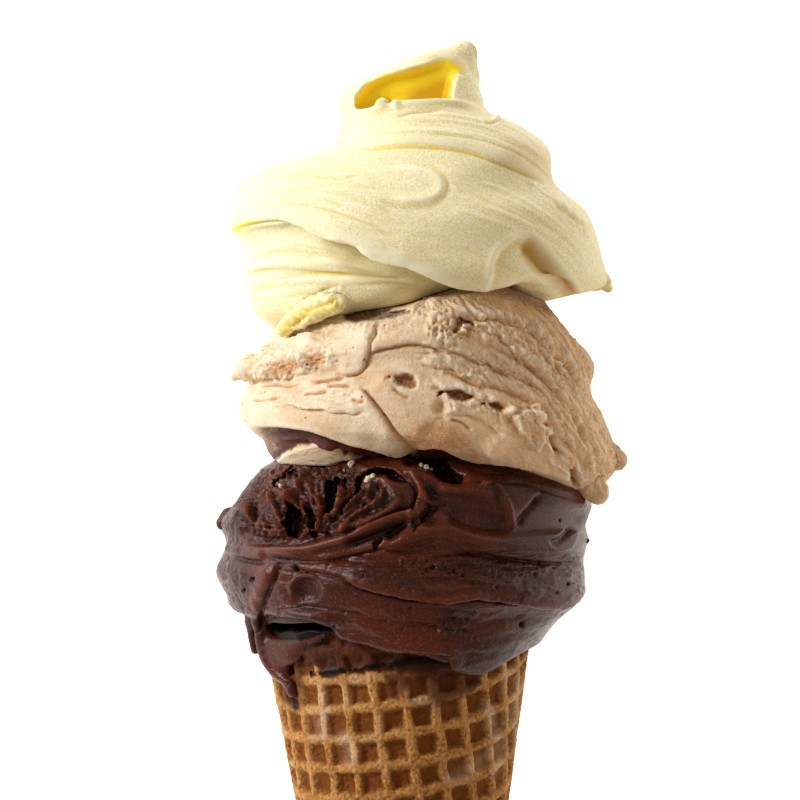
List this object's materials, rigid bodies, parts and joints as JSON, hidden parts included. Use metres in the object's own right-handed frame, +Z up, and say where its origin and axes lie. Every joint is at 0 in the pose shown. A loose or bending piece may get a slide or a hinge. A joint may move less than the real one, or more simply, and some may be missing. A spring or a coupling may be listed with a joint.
{
  "type": "gelato in a waffle cone",
  "caption": "Rolled waffle cone, lying on its back, with swirled chocolate, hazelnut and lemon gelato stacked over its rim.",
  "frame": {"origin": "middle of the bounding box's lowest face, on the floor that the object lies on", "axes": "+Y along the cone, from its tip to the peak of the lemon gelato; +Z up, the way the shown side faces; +X to the right of that side"},
  "size_m": [0.0744, 0.2572, 0.0677],
  "materials": {
    "waffle": "baked golden wafer, dry, with browner pocket floors and pale floury ridges",
    "chocolate": "dark chocolate gelato, wet sheen, fine crumbly grain where it is torn",
    "hazelnut": "pale tan nut gelato, matt and grainy, with smears and crumbly tears",
    "lemon": "pale yellow lemon gelato, smooth and satin, deeper yellow in its folds"
  },
  "bodies": {
    "root": {"waffle_cone": "waffle", "chocolate_gelato": "chocolate", "hazelnut_gelato": "hazelnut", "lemon_gelato": "lemon"}
  },
  "joints": []
}
